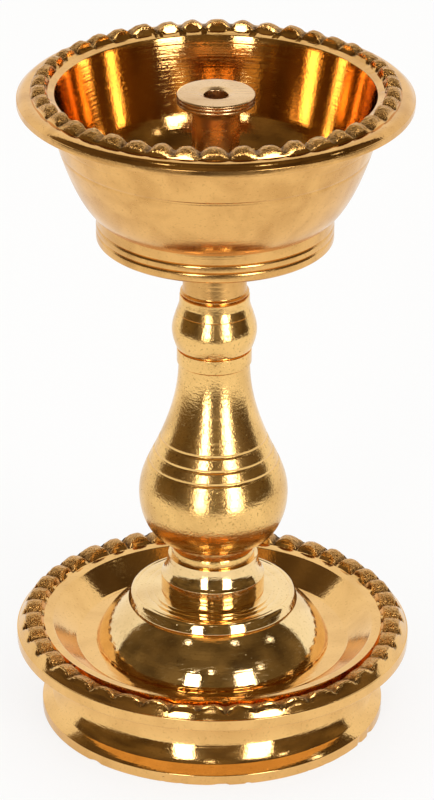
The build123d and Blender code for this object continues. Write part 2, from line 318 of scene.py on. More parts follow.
@dataclass(frozen=True)
class BrassFinish:
    """Cast or turned brass: warm metal with tool lines, scratches, grain, pits and tarnish."""

    name: str
    metal: str = "#EBC07A"
    tarnish: str = "#B98743"
    pit_colour: str = "#3A2A14"
    cast_colour: str = "#E6AE62"
    # Dark colour of the painted shade in the bead notches, also used for the dirt in the pocks of the cast
    # skin
    notch_shade_and_pock_dirt_colour: str = "#432C12"
    tarnish_amount: float = 0.3
    tarnish_size: float = 7.0
    roughness: float = 0.1
    haze: float = 0.06
    line_pitch: float = 0.5
    line_strength: float = 0.2
    grain_size: float = 0.42
    grain_strength: float = 0.12
    speck_amount: float = 0.35
    scratch_strength: float = 0.06
    scratch_width: float = 0.5
    relief_depth: float = 0.08
    pit_spacing: float = 3.2
    pit_size: float = 0.13
    pit_share: float = 0.4
    polish_roughness: float = 0.0
    has_cast_skin: bool = False

    def material(self) -> bpy.types.Material:
        """Builds the finish as a procedural material.

        Returns:
            The new material.
        """
        made = bpy.data.materials.new(self.name)
        made.use_nodes = True
        tree = made.node_tree
        shader = tree.nodes["Principled BSDF"]
        spot = add_node(tree, "TexCoord").outputs["Object"]
        # Tool lines only depend on the distance from the axis and the height, so they run round the piece
        flat = add_node(tree, "VectorMath", {0: spot, 1: (1.0, 1.0, 0.0)}, operation="MULTIPLY")
        radius = add_node(tree, "VectorMath", {0: flat.outputs[0]}, operation="LENGTH").outputs["Value"]
        height = add_node(tree, "SeparateXYZ", {0: spot}).outputs["Z"]
        section = add_node(tree, "CombineXYZ", {"X": radius, "Z": height}).outputs[0]
        lines = add_node(tree, "TexNoise", {"Vector": section, "Scale": 1 / (self.line_pitch * MM),
                                            "Detail": 3.0}).outputs["Fac"]
        patch = add_node(tree, "TexNoise", {"Vector": spot, "Scale": 1 / (self.tarnish_size * MM),
                                            "Detail": 5.0, "Distortion": 0.5}).outputs["Fac"]
        stain = add_node(tree, "MapRange", {"Value": patch, "From Min": 0.4, "From Max": 0.7}).outputs[0]
        grain = add_node(tree, "TexNoise", {"Vector": spot, "Scale": 1 / (self.grain_size * MM),
                                            "Detail": 2.0}).outputs["Fac"]
        specks = add_node(tree, "MapRange", {"Value": grain, "From Min": 0.6, "From Max": 0.72}).outputs[0]
        # Long thin streaks at a slant are the scratches of handling and polishing
        slanted = add_node(tree, "Mapping", {"Vector": spot, "Rotation": (0.4, 0.5, 0.9),
                                             "Scale": (0.05, 1.0, 1.0)}).outputs[0]
        streaks = add_node(tree, "TexNoise", {"Vector": slanted, "Scale": 1 / (self.scratch_width * MM),
                                              "Detail": 1.0}).outputs["Fac"]
        scratches = add_node(tree, "MapRange", {"Value": streaks, "From Min": 0.62,
                                                "From Max": 0.68}).outputs[0]
        cells = add_node(tree, "TexVoronoi", {"Vector": spot, "Scale": 1 / (self.pit_spacing * MM)})
        near = add_node(tree, "MapRange", {"Value": cells.outputs["Distance"], "To Min": 1.0, "To Max": 0.0,
                                           "From Min": 0.4 * self.pit_size / self.pit_spacing,
                                           "From Max": self.pit_size / self.pit_spacing}).outputs[0]
        picked = add_node(tree, "Math", {0: cells.outputs["Color"], 1: self.pit_share},
                          operation="LESS_THAN")
        pits = add_node(tree, "Math", {0: near, 1: picked.outputs[0]}, operation="MULTIPLY").outputs[0]
        stained = add_node(tree, "Math", {0: stain, 1: self.tarnish_amount},
                           operation="MULTIPLY").outputs[0]
        speckled = add_node(tree, "Math", {0: specks, 1: self.speck_amount},
                            operation="MULTIPLY").outputs[0]
        colour = add_node(tree, "Mix", {0: stained, 6: linear(self.metal), 7: linear(self.tarnish)},
                          data_type="RGBA").outputs[2]
        colour = add_node(tree, "Mix", {0: speckled, 6: colour, 7: linear(self.tarnish)},
                          data_type="RGBA").outputs[2]
        colour = add_node(tree, "Mix", {0: pits, 6: colour, 7: linear(self.pit_colour)},
                          data_type="RGBA").outputs[2]
        rough = add_node(tree, "MapRange", {"Value": patch, "From Min": 0.3, "From Max": 0.75,
                                            "To Min": self.roughness - self.haze / 2,
                                            "To Max": self.roughness + self.haze}).outputs[0]
        if self.polish_roughness:
            polish = add_node(tree, "Attribute", attribute_name="polish").outputs["Fac"]
            rough = add_node(tree, "Mix", {0: polish, 2: rough, 3: self.polish_roughness}).outputs[0]
        rough = add_node(tree, "Math", {0: scratches, 1: self.scratch_strength, 2: rough},
                         operation="MULTIPLY_ADD").outputs[0]
        rough = add_node(tree, "Math", {0: pits, 1: 0.4, 2: rough}, operation="MULTIPLY_ADD").outputs[0]
        relief = add_node(tree, "Bump", {"Height": lines, "Strength": self.line_strength,
                                         "Distance": self.relief_depth * MM}).outputs[0]
        relief = add_node(tree, "Bump", {"Height": grain, "Strength": self.grain_strength,
                                         "Distance": self.relief_depth * MM, "Normal": relief}).outputs[0]
        relief = add_node(tree, "Bump", {"Height": pits, "Strength": 0.6, "Distance": 0.05 * MM,
                                         "Normal": relief}, invert=True).outputs[0]
        if self.has_cast_skin:
            cast = add_node(tree, "Attribute", attribute_name="cast_skin").outputs["Fac"]
            # The notch attribute holds painted shade that darkens the notches between the beads; the dark
            # mix below also darkens the pocks of the cast skin, which is dirt
            notch_shade = add_node(tree, "Attribute", attribute_name="notch_shade").outputs["Fac"]
            skin = add_node(tree, "TexNoise", {"Vector": spot, "Scale": 1 / (0.55 * MM), "Detail": 3.0,
                                               "Roughness": 0.6}).outputs["Fac"]
            hollow = add_node(tree, "MapRange", {"Value": skin, "From Min": 0.42, "From Max": 0.58,
                                                 "To Min": 1.0, "To Max": 0.0}).outputs[0]
            notch_shade_and_pock_dirt = add_node(tree, "Math", {0: hollow, 1: 0.4, 2: 0.45}, operation="MULTIPLY_ADD").outputs[0]
            notch_shade_and_pock_dirt = add_node(tree, "Math", {0: notch_shade, 1: notch_shade_and_pock_dirt}, operation="MULTIPLY").outputs[0]
            pocks = add_node(tree, "Math", {0: hollow, 1: cast}, operation="MULTIPLY").outputs[0]
            pocks = add_node(tree, "Math", {0: pocks, 1: 0.28}, operation="MULTIPLY").outputs[0]
            notch_shade_and_pock_dirt = add_node(tree, "Math", {0: notch_shade_and_pock_dirt, 1: pocks}, operation="MAXIMUM").outputs[0]
            colour = add_node(tree, "Mix", {0: cast, 6: colour, 7: linear(self.cast_colour)},
                              data_type="RGBA").outputs[2]
            colour = add_node(tree, "Mix", {0: notch_shade_and_pock_dirt, 6: colour, 7: linear(self.notch_shade_and_pock_dirt_colour)},
                              data_type="RGBA").outputs[2]
            rough = add_node(tree, "Math", {0: cast, 1: 0.1, 2: rough}, operation="MULTIPLY_ADD").outputs[0]
            rough = add_node(tree, "Math", {0: notch_shade_and_pock_dirt, 1: 0.3, 2: rough}, operation="MULTIPLY_ADD").outputs[0]
            pocked = add_node(tree, "Math", {0: skin, 1: cast}, operation="MULTIPLY").outputs[0]
            relief = add_node(tree, "Bump", {"Height": pocked, "Strength": 1.0, "Distance": 0.35 * MM,
                                             "Normal": relief}).outputs[0]
        tree.links.new(colour, shader.inputs["Base Color"])
        tree.links.new(rough, shader.inputs["Roughness"])
        tree.links.new(relief, shader.inputs["Normal"])
        shader.inputs["Metallic"].default_value = 1.0
        return made


@dataclass(frozen=True)
class SteelFinish:
    """Zinc-plated steel: grey, satin, with faint mottling of the plating."""

    name: str
    metal: str = "#BDBDB8"
    mottle: str = "#9C9B92"
    mottle_size: float = 2.5
    roughness: float = 0.32

    def material(self) -> bpy.types.Material:
        """Builds the finish as a procedural material.

        Returns:
            The new material.
        """
        made = bpy.data.materials.new(self.name)
        made.use_nodes = True
        tree = made.node_tree
        shader = tree.nodes["Principled BSDF"]
        spot = add_node(tree, "TexCoord").outputs["Object"]
        patch = add_node(tree, "TexNoise", {"Vector": spot, "Scale": 1 / (self.mottle_size * MM),
                                            "Detail": 5.0}).outputs["Fac"]
        colour = add_node(tree, "Mix", {0: patch, 6: linear(self.metal), 7: linear(self.mottle)},
                          data_type="RGBA").outputs[2]
        rough = add_node(tree, "MapRange", {"Value": patch, "To Min": self.roughness - 0.1,
                                            "To Max": self.roughness + 0.12}).outputs[0]
        tree.links.new(colour, shader.inputs["Base Color"])
        tree.links.new(rough, shader.inputs["Roughness"])
        shader.inputs["Metallic"].default_value = 1.0
        return made


@dataclass
class BeadRing:
    """Row of cast beads on a rim, notched by hand, with rough tops and painted shade between them."""

    inner: float
    outer: float
    seat: float
    top: float
    notch_floor: float
    seed: int
    outer_seat: float = 0.0
    reach: float = 0.0
    count: int = 42
    roundness: float = 2.3
    lean: float = 0.0
    front_cut: float = 0.0
    front_turn: float = math.radians(6)
    floor_spread: float = 0.15

    def walk(self, outline: Outline) -> Outline:
        """Adds the ring's cross-section to an outline, from its outer foot to its inner foot.

        Args:
            outline: Outline that has reached the ring from outside.

        Returns:
            The outline itself.
        """
        width = self.outer - self.inner
        rise = self.top - self.seat
        crown = (self.inner + 0.48 * width, self.top)
        foot = self.outer_seat or self.seat
        outline.to(self.outer, foot)
        outline.curve((self.outer - 0.02 * width, foot + 0.55 * (self.top - foot)),
                      (crown[0] + 0.25 * width, self.top), crown, steps=11)
        outline.curve((crown[0] - 0.22 * width, self.top),
                      (self.inner + 0.16 * width, self.top - 0.04 * rise),
                      (self.inner + 0.14 * width, self.top - 0.22 * rise), steps=6)
        outline.to(self.inner + 0.11 * width, self.top - 0.45 * rise)
        outline.to(self.inner + 0.07 * width, self.top - 0.7 * rise)
        return outline.to(self.inner, self.seat)

    def cut(self, piece: bpy.types.Object) -> None:
        """Cuts the notches between the beads, roughens the tops and marks cast skin and the painted shade in
        the notches.

        Args:
            piece: Turned mesh that carries the ring's cross-section all round.
        """
        dice = random.Random(self.seed)
        pitch = math.tau / self.count
        edges = [(i + dice.uniform(-0.09, 0.09)) * pitch for i in range(self.count)]
        edges.append(edges[0] + math.tau)
        spread = self.floor_spread
        floors = [self.notch_floor + dice.uniform(-spread, spread) for _ in range(self.count)]
        lifts = [dice.uniform(0.86, 1.06) for _ in range(self.count)]
        mesh = piece.data
        cast = mesh.attributes.new("cast_skin", "FLOAT", "POINT")
        notch_shade = mesh.attributes.new("notch_shade", "FLOAT", "POINT")
        width, rise = self.outer - self.inner, self.top - self.seat
        low = min(self.seat, self.notch_floor - spread) - 0.01
        for vertex in mesh.vertices:
            x, y, z = vertex.co / MM
            radius = math.hypot(x, y)
            if not (self.inner - 0.01 < radius < max(self.outer, self.reach) + 0.01 and z > low):
                continue
            angle = (math.atan2(y, x) - edges[0]) % math.tau + edges[0]
            bead = min(bisect_right(edges, angle), self.count) - 1
            to_left, to_right = (angle - edges[bead]) * radius, (edges[bead + 1] - angle) * radius
            floor = floors[bead] if to_left < to_right else floors[(bead + 1) % self.count]
            away = math.sin(angle)
            front = smooth_step(0.1, 0.85, -math.sin(angle - self.front_turn))
            share = (z - self.seat) / rise
            across = (radius - self.inner) / width
            side = min(to_left, to_right) / ((to_left + to_right) / 2)
            body = self.seat + (z - self.seat) * lifts[bead] + share * self.lean * away
            if self.front_cut:
                body -= self.front_cut * front * max(0.0, self.outer - 0.15 - radius)
            notch = min(floor - 0.3 * self.front_cut * front * max(0.0, self.outer - 0.5 - radius), body)
            sharp = self.roundness if radius < self.outer + 0.01 else 2 * self.roundness
            height = notch + (body - notch) * (1 - (1 - side) ** sharp)
            inner_face = 1 - smooth_step(0.12, 0.22, across)
            skin = smooth_step(0.3, 0.7, share) * (1 - 0.9 * inner_face)
            skin *= smooth_step(self.outer + 0.02, self.outer - 0.3, radius)
            spot = Vector((x, y, z))
            grain = noise.noise(spot / 0.9) * 0.09 + noise.noise(spot / 0.4) * 0.06
            height = min(z + self.lean, height) + grain * skin
            vertex.co.z = height * MM
            cast.data[vertex.index].value = skin
            # Painted shade: the notches between the beads get a mask that darkens them, more where the notch
            # is deeper
            between = 1 - smooth_step(0.06, 0.42, side)
            notch_shade.data[vertex.index].value = between * smooth_step(0.02, 0.3, body - notch)


@dataclass
class Base:
    """Foot, drip tray and domed boss, with the collar that the stem stands on."""

    foot_radius: float = 28.8
    foot_edge_top: float = 1.85
    flare: Point = (27.1, 2.95)
    flare_handle: Point = (0.75, 0.9)
    waist: Point = (25.45, 7.6)
    waist_handles: Point = (2.0, 2.6)
    cove_top: Point = (31.0, 12.85)
    cove_handle: float = 4.0
    lip_radius: float = 33.0
    lip_top: float = 14.75
    rim_bevel: Point = (31.75, 16.6)
    lip_step: float = 0.16
    rim_tilt: float = 0.4
    rim_side_tilt: float = 0.25
    rim_lift: float = 0.12
    ledge: tuple[Point, Point] = ((28.35, 15.95), (27.0, 15.85))
    floor_radius: float = 22.8
    floor_height: float = 12.6
    floor_underside: float = 10.4
    bore_radius: float = 4.2
    hollow_top_radius: float = 21.6
    hollow_mouth_radius: float = 24.0
    chip_reach: float = 0.35
    dome_foot_radius: float = 19.7
    dome_shoulder_radius: float = 13.7
    dome_wall: float = 2.2
    dome_cap: float = 3.0
    plate_radius: float = 14.2
    plate_top: float = 21.9
    plate_low: float = 19.9
    collar_radius: float = 8.65
    collar_top_radius: float = 7.5
    collar_top: float = 28.6
    collar_band_height: float = 3.3
    collar_step: float = 0.12
    beads: BeadRing = field(default_factory=lambda: BeadRing(
        inner=28.5, outer=31.7, seat=16.0, top=17.3, notch_floor=15.75, seed=11, lean=0.2, front_cut=0.62,
        outer_seat=16.62, reach=32.6))
    steps: int = 588

    def build(self, cast: bpy.types.Material, polished: bpy.types.Material) -> None:
        """Builds and dresses the pieces of the base.

        Args:
            cast: Finish of the foot and tray.
            polished: Finish of the dome and the collar.
        """
        dish = self.dish()
        place(dish, Body.BASE, Slot.CAST, cast, "base_dish")
        place(self.dome(), Body.BASE, Slot.TURNED, polished, "base_dome")
        place(self.collar(), Body.BASE, Slot.TURNED, polished, "stem_collar")

    def dish(self) -> bpy.types.Object:
        """Turns the foot and the tray in one, and cuts the beads of the rim.

        Returns:
            The new object.
        """
        outline = Outline()
        outline.to(self.hollow_mouth_radius, 0, 0.3).to(self.foot_radius, 0, 0.25)
        outline.to(self.foot_radius, self.foot_edge_top - 0.1, 0.06)
        outline.to(self.foot_radius - 0.1, self.foot_edge_top).to(*self.flare, 0.12)
        outline.curve((self.flare[0] - self.flare_handle[0], self.flare[1] + self.flare_handle[1]),
                      (self.waist[0], self.waist[1] - self.waist_handles[0]), self.waist, steps=26)
        outline.curve((self.waist[0], self.waist[1] + self.waist_handles[1]),
                      (self.cove_top[0] - self.cove_handle, self.cove_top[1]), self.cove_top, steps=20)
        outline.to(self.lip_radius, self.cove_top[1], 0.25).to(self.lip_radius, self.lip_top, 0.06)
        bevel_foot = (self.lip_radius - self.lip_step, self.lip_top + 0.05)
        outline.to(*bevel_foot, 0.03)
        for share in (0.15, 0.3, 0.45, 0.6, 0.7, 0.8, 0.9):
            outline.to(bevel_foot[0] - share * (bevel_foot[0] - self.rim_bevel[0]),
                       bevel_foot[1] + share * (self.rim_bevel[1] - bevel_foot[1]))
        self.beads.walk(outline)
        outline.to(*self.ledge[0], 0.1).to(*self.ledge[1], 0.25)
        outline.to(self.floor_radius, self.floor_height, 0.3)
        outline.to(self.bore_radius, self.floor_height).to(self.bore_radius, self.floor_underside)
        outline.to(self.hollow_top_radius, self.floor_underside, 0.8)
        piece = lathe("base_casting", outline, self.steps)
        self.beads.cut(piece)
        self.chip(piece)
        self.tilt_rim(piece)
        smooth(piece)
        return piece

    def tilt_rim(self, piece: bpy.types.Object) -> None:
        """Tilts the cast rim a little, higher at the back, as it left its mould.

        Args:
            piece: Turned mesh of the dish.
        """
        for vertex in piece.data.vertices:
            x, y, z = vertex.co / MM
            share = smooth_step(25.0, 27.0, math.hypot(x, y)) * smooth_step(11.0, 12.8, z)
            tilt = (self.rim_tilt * y - self.rim_side_tilt * x) / self.lip_radius
            vertex.co.z += share * (self.rim_lift + tilt) * MM

    def chip(self, piece: bpy.types.Object) -> None:
        """Knocks small chips out of the foot's lower edge.

        Args:
            piece: Turned mesh of the dish.
        """
        for vertex in piece.data.vertices:
            x, y, z = vertex.co / MM
            radius = math.hypot(x, y)
            inside = self.foot_radius - self.chip_reach
            if radius > inside and z < 0.3:
                deep = smooth_step(0.15, 0.5, noise.noise(Vector((x, y, 0)) / 2.3))
                vertex.co.x *= 1 - 0.2 * deep / radius
                vertex.co.y *= 1 - 0.2 * deep / radius
                vertex.co.z += 0.22 * deep * smooth_step(inside, self.foot_radius, radius) * MM

    def dome(self) -> bpy.types.Object:
        """Turns the hollow dome with the flat plate on top.

        Returns:
            The new object.
        """
        inner_foot = self.dome_foot_radius - self.dome_wall
        inner_shoulder = self.dome_shoulder_radius - self.dome_wall
        cap_low = self.plate_top - self.dome_cap
        outline = Outline()
        outline.to(inner_foot, self.floor_height).to(self.dome_foot_radius, self.floor_height, 0.1)
        outline.to(self.dome_foot_radius, self.floor_height + 0.15)
        outline.curve((self.dome_foot_radius - 1.15, self.floor_height + 3.0), (16.42, 18.25),
                      (13.75, self.plate_low), steps=30)
        outline.to(self.plate_radius, self.plate_low + 0.05, 0.1)
        outline.to(self.plate_radius, self.plate_low + 0.35, 0.15)
        outline.to(self.plate_radius - 0.45, self.plate_top - 0.3, 0.3)
        outline.to(self.plate_radius - 0.8, self.plate_top, 0.15).to(self.bore_radius, self.plate_top)
        outline.to(self.bore_radius, cap_low).to(inner_shoulder, cap_low)
        outline.curve((inner_shoulder + 2.78, cap_low - 1.48), (inner_foot - 0.97, self.floor_height + 3.0),
                      (inner_foot, self.floor_height + 0.2), steps=14)
        outline.scribe(12.95, self.plate_top, 0.3, 0.1).scribe(11.2, self.plate_top, 0.16, 0.04)
        outline.scribe(10.1, self.plate_top, 0.14, 0.03)
        piece = lathe("base_boss", outline, 256)
        for vertex in piece.data.vertices:
            low = 1 - smooth_step(self.floor_height, self.floor_height + 0.4, vertex.co.z / MM)
            ragged = noise.noise(vertex.co / (1.1 * MM)) * 0.24 + noise.noise(vertex.co / (3.1 * MM)) * 0.12
            scale = 1 + low * (ragged - 0.15) / self.dome_foot_radius
            vertex.co.x *= scale
            vertex.co.y *= scale
        smooth(piece)
        return piece

    def collar(self) -> bpy.types.Object:
        """Turns the collar: a straight band under a hollow shoulder.

        Returns:
            The new object.
        """
        band_top = self.plate_top + self.collar_band_height
        shoulder = self.collar_radius - self.collar_step
        outline = Outline()
        outline.to(self.bore_radius, self.plate_top).to(shoulder, self.plate_top)
        outline.to(shoulder, self.plate_top + 0.18).to(self.collar_radius, self.plate_top + 0.25)
        outline.to(self.collar_radius, band_top - self.collar_step, 0.05).to(shoulder, band_top, 0.08)
        outline.curve((shoulder - 0.6, band_top + 0.6),
                      (self.collar_top_radius + 0.15, self.collar_top - 1.5),
                      (self.collar_top_radius, self.collar_top), steps=14)
        outline.to(self.bore_radius, self.collar_top)
        piece = lathe("stem_collar_ring", outline, 192)
        smooth(piece)
        return piece


@dataclass
class Stem:
    """Vase of the stem and the knop above it."""

    low: float = 28.6
    top: float = 63.9
    knop_top: float = 76.0
    belly: Point = (12.4, 40.2)
    throat: Point = (9.2, 49.7)
    top_radius: float = 5.9
    throat_handle: Point = (1.376, 3.2)
    foot_radius: float = 6.95
    foot_height: float = 2.9
    foot_ring: float = 0.4
    tie_hole: Point = (4.06, 37.1)
    bowl_hole: Point = (3.06, 54.9)
    knop_bore_radius: float = 3.2
    knop_radius: float = 7.0
    knop_ring_radius: float = 6.18
    knop_ring_height: float = 2.5
    knop_groove_radius: float = 5.75
    knop_groove_width: float = 0.4
    knop_band_height: float = 1.4
    ring_lines: tuple[Point, ...] = ((8.95, 50.3), (9.93, 48.1), (10.85, 46.1))
    steps: int = 192

    def build(self, satin: bpy.types.Material) -> None:
        """Builds and dresses the stem.

        Args:
            satin: Finish of both pieces.
        """
        place(self.vase(), Body.STEM, Slot.TURNED, satin, "stem_vase")
        place(self.knop(), Body.STEM, Slot.TURNED, satin, "stem_knop")

    def vase(self) -> bpy.types.Object:
        """Turns the vase with its scribed rings and its two tapped holes.

        Returns:
            The new object.
        """
        foot_top = self.low + self.foot_height
        ring = self.foot_radius + self.foot_ring
        ring_top = foot_top + self.foot_ring
        outline = Outline()
        outline.to(self.tie_hole[0], self.low).to(self.foot_radius, self.low, 0.12)
        outline.to(self.foot_radius, foot_top).to(ring, foot_top + 0.05, 0.1).to(ring, ring_top)
        outline.curve((ring + 2.7, ring_top), (self.belly[0], self.belly[1] - 4.6), self.belly, steps=26)
        throat, lean = Vector(self.throat), Vector((-self.throat_handle[0], self.throat_handle[1]))
        outline.curve((self.belly[0], self.belly[1] + 3.6), tuple(throat - lean), self.throat, steps=22)
        outline.curve(tuple(throat + lean), (self.top_radius, self.top - 6.0),
                      (self.top_radius, self.top - 0.12), steps=26)
        outline.to(self.top_radius - 0.12, self.top).to(self.bowl_hole[0], self.top).to(*self.bowl_hole)
        outline.to(0, self.bowl_hole[1]).to(0, self.tie_hole[1]).to(*self.tie_hole)
        for radius, height in self.ring_lines:
            outline.scribe(radius, height, 0.75, 0.2)
        outline.scribe(self.foot_radius, self.low + 1.5, 0.2, 0.06)
        piece = lathe("stem_vase_body", outline, self.steps)
        smooth(piece)
        return piece

    def knop(self) -> bpy.types.Object:
        """Turns the rounded knop over its plain ring.

        Returns:
            The new object.
        """
        ring_top = self.top + self.knop_ring_height
        groove_top = ring_top + self.knop_groove_width
        band_low = self.knop_top - self.knop_band_height
        groove = self.knop_groove_radius
        outline = Outline()
        outline.to(self.knop_bore_radius, self.top).to(6.04, self.top).to(6.17, self.top + 0.14, 0.06)
        outline.to(self.knop_ring_radius, ring_top, 0.05).to(groove, ring_top + 0.06)
        outline.to(groove, groove_top).to(6.3, groove_top + 0.06, 0.05)
        outline.curve((6.7, ring_top + 1.5), (self.knop_radius, self.top + 4.9),
                      (self.knop_radius, self.top + 6.0), steps=14)
        outline.curve((self.knop_radius, self.top + 7.5), (5.85, band_low - 0.75), (5.8, band_low), steps=18)
        outline.to(groove, self.knop_top - 0.1).to(5.6, self.knop_top)
        outline.to(self.knop_bore_radius, self.knop_top)
        outline.scribe(6.25, 73.15, 0.15, 0.07)
        piece = lathe("stem_knop_ball", outline, self.steps)
        smooth(piece)
        return piece


@dataclass
class ButterBowl:
    """Bowl with its neck, grooved foot ring and beaded lip, and the wick pillar in it."""

    low: float = 76.0
    neck_radius: float = 5.25
    foot_low: float = 86.0
    foot_top: float = 90.9
    foot_radius: float = 19.35
    foot_grooves: tuple[float, ...] = (1.75, 3.1)
    groove_depth: float = 0.38
    lip_low: float = 109.4
    lip_radius: float = 32.0
    lip_top: float = 111.25
    belly_top_radius: float = 27.3
    mouth: Point = (25.9, 111.1)
    floor: float = 91.4
    floor_radius: float = 13.5
    wall_foot: Point = (22.75, 98.5)
    stud_hole: Point = (3.06, 83.0)
    pillar_hole: Point = (2.56, 86.1)
    pillar_radius: float = 3.9
    pillar_top: float = 111.05
    disc_radius: float = 6.34
    disc_low: float = 109.35
    disc_lines: tuple[float, ...] = (0.5, 1.1)
    wick_radius: float = 2.0
    wick_low: float = 99.05
    pillar_hole_top: float = 95.9
    beads: BeadRing = field(default_factory=lambda: BeadRing(
        inner=27.0, outer=29.85, seat=111.45, top=113.0, notch_floor=111.6, seed=23))
    steps: int = 588

    def build(self, cast: bpy.types.Material, turned: bpy.types.Material) -> None:
        """Builds and dresses the bowl and its pillar.

        Args:
            cast: Finish of the bowl.
            turned: Finish of the pillar.
        """
        place(self.bowl(), Body.BOWL, Slot.CAST, cast, "bowl")
        place(self.pillar(), Body.PILLAR, Slot.TURNED, turned, "wick_pillar")

    def bowl(self) -> bpy.types.Object:
        """Turns the bowl and cuts the beads of its lip.

        Returns:
            The new object.
        """
        outline = Outline()
        outline.to(self.stud_hole[0], self.low).to(4.95, self.low).to(4.95, self.low + 0.4)
        outline.to(5.66, self.low + 0.44, 0.04).to(5.66, self.low + 0.58, 0.04)
        outline.to(self.neck_radius, self.low + 0.8, 0.12)
        outline.to(self.neck_radius, self.foot_low).to(18.95, self.foot_low, 0.15)
        outline.to(self.foot_radius, self.foot_low + 0.35, 0.15)
        for height in self.foot_grooves:
            groove = self.foot_low + height
            outline.to(self.foot_radius, groove - 0.2, 0.22)
            outline.to(self.foot_radius - self.groove_depth, groove + 0.12, 0.06)
            outline.to(self.foot_radius, groove + 0.18, 0.05)
        outline.to(self.foot_radius, self.foot_top)
        outline.curve((22.4, self.foot_top + 2.3), (25.2, self.foot_top + 9.55),
                      (self.belly_top_radius, self.lip_low), steps=34)
        outline.to(self.lip_radius, self.lip_low, 0.2).to(self.lip_radius, self.lip_top - 0.75, 0.04)
        outline.to(self.lip_radius - 0.14, self.lip_top - 0.68, 0.03)
        outline.curve((31.35, self.lip_top + 0.02), (30.9, self.lip_top + 0.2),
                      (30.0, self.lip_top + 0.2), steps=12)
        self.beads.walk(outline)
        outline.to(*self.mouth, 0.12)
        outline.curve((25.1, 107.2), (23.9, 102.3), self.wall_foot, steps=16)
        outline.curve((21.7, self.floor + 4.4), (19.5, self.floor),
                      (self.floor_radius, self.floor), steps=26)
        outline.to(self.pillar_hole[0], self.floor).to(*self.pillar_hole)
        outline.to(0, self.pillar_hole[1]).to(0, self.stud_hole[1]).to(*self.stud_hole)
        outline.scribe(25.0, 102.3, 0.7, 0.11).scribe(25.9, 105.2, 0.5, 0.03)
        piece = lathe("bowl_casting", outline, self.steps)
        polish = piece.data.attributes.new("polish", "FLOAT", "POINT")
        for vertex in piece.data.vertices:
            x, y, z = vertex.co / MM
            faces_in = vertex.normal.x * x + vertex.normal.y * y < 0.05 * math.hypot(x, y)
            on_lip = z > self.lip_top - 0.7
            polish.data[vertex.index].value = float(on_lip or faces_in and z > self.floor - 0.01)
        self.beads.cut(piece)
        smooth(piece)
        return piece

    def pillar(self) -> bpy.types.Object:
        """Turns the mushroom pillar with its grooved disc and the countersunk hole for the wick.

        Returns:
            The new object.
        """
        edge = self.disc_radius
        outline = Outline()
        outline.to(self.pillar_hole[0], self.floor).to(self.pillar_radius, self.floor)
        outline.to(self.pillar_radius, self.disc_low - 1.9)
        outline.curve((self.pillar_radius, self.disc_low - 0.7), (4.6, self.disc_low),
                      (edge - 0.15, self.disc_low), steps=10)
        outline.to(edge, self.disc_low + 0.15, 0.08).to(edge, self.pillar_top - 0.2, 0.12)
        outline.to(edge - 0.25, self.pillar_top, 0.12).to(2.9, self.pillar_top, 0.12)
        outline.to(self.wick_radius, self.pillar_top - 0.35, 0.1).to(self.wick_radius, self.wick_low)
        outline.to(0, self.wick_low).to(0, self.pillar_hole_top)
        outline.to(self.pillar_hole[0], self.pillar_hole_top)
        for height in self.disc_lines:
            outline.scribe(edge, self.disc_low + height, 0.26, 0.07)
        piece = lathe("wick_holder", outline, 160)
        smooth(piece)
        return piece


@dataclass
class ThreadedStud:
    """Stud with a cut helical thread and bevelled ends."""

    node: str
    body: Body
    slot: Slot
    diameter: float
    pitch: float
    low: float
    high: float
    thread_depth: float = 0.6134
    end_bevel: float = 0.5
    steps: int = 48

    def build(self, material: bpy.types.Material) -> None:
        """Builds and dresses the stud.

        Args:
            material: Finish of the stud.
        """
        place(self.stud(), self.body, self.slot, material, self.node)

    def stud(self) -> bpy.types.Object:
        """Winds one pitch of thread up the axis, cuts it to length and bevels the ends.

        Returns:
            The new object.
        """
        crest = self.diameter / 2
        root = crest - self.thread_depth * self.pitch
        flank = ((root, 0.0), (root, 0.12), (crest, 0.5), (crest, 0.62), (root, 1.0))
        points = [Vector((r, 0.0, self.low + (t - 1) * self.pitch)) * MM for r, t in flank]
        bpy.ops.object.select_all(action="DESELECT")
        bpy.ops.mesh.primitive_plane_add(size=MM)
        piece = bpy.context.active_object
        piece.name = piece.data.name = self.node + "_thread"
        bpy.ops.object.mode_set(mode="EDIT")
        bpy.ops.mesh.select_mode(type="VERT")
        bpy.ops.mesh.select_all(action="SELECT")
        bpy.ops.mesh.merge(type="CENTER")
        bpy.ops.transform.translate(value=points[0])
        for here, there in zip(points, points[1:]):
            bpy.ops.mesh.extrude_region_move(TRANSFORM_OT_translate={"value": there - here})
        bpy.ops.object.mode_set(mode="OBJECT")
        wind = piece.modifiers.new("wind", "SCREW")
        wind.axis = "Z"
        wind.angle = math.tau
        wind.screw_offset = self.pitch * MM
        wind.iterations = int((self.high - self.low) / self.pitch) + 3
        wind.steps = wind.render_steps = self.steps
        bpy.ops.object.modifier_apply(modifier=wind.name)
        bpy.ops.object.mode_set(mode="EDIT")
        bpy.ops.mesh.select_all(action="SELECT")
        bpy.ops.mesh.remove_doubles(threshold=MERGE_DISTANCE)
        for height, end in ((self.low, "clear_inner"), (self.high, "clear_outer")):
            bpy.ops.mesh.select_all(action="SELECT")
            bpy.ops.mesh.bisect(plane_co=(0, 0, height * MM), plane_no=(0, 0, 1), use_fill=True,
                                **{end: True})
        bpy.ops.mesh.select_all(action="SELECT")
        bpy.ops.mesh.normals_make_consistent(inside=False)
        bpy.ops.object.mode_set(mode="OBJECT")
        for vertex in piece.data.vertices:
            height = vertex.co.z / MM
            most = root - self.end_bevel / 2 + min(height - self.low, self.high - height)
            radius = math.hypot(vertex.co.x, vertex.co.y) / MM
            if radius > most:
                vertex.co.x *= most / radius
                vertex.co.y *= most / radius
        smooth(piece)
        return piece


